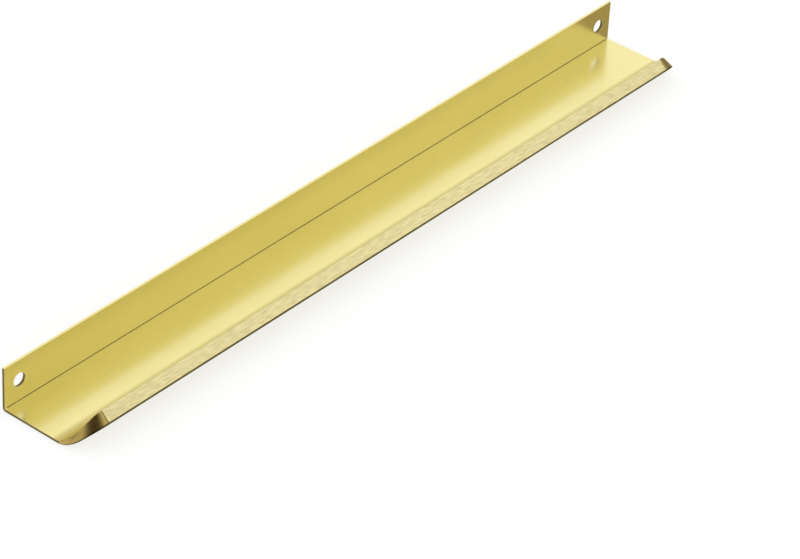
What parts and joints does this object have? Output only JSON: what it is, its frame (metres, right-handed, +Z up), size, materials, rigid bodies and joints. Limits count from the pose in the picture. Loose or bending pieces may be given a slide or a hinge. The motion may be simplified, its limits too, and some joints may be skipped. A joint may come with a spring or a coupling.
{
  "type": "cabinet edge pull",
  "caption": "Long sheet-metal edge pull with a screw flange, a flat plate and a turned-up finger lip, whose folded-back wall follows the rounded corners.",
  "frame": {"origin": "middle of the bounding box's footprint, on the floor that the plate lies on", "axes": "+X along the pull, +Y from the finger lip to the screw flange, +Z up"},
  "size_m": [0.4, 0.0466, 0.0216],
  "materials": {
    "brushed_brass": "brushed along the length outside, satin inside"
  },
  "bodies": {
    "root": {"edge_pull": "brushed_brass"}
  },
  "joints": []
}
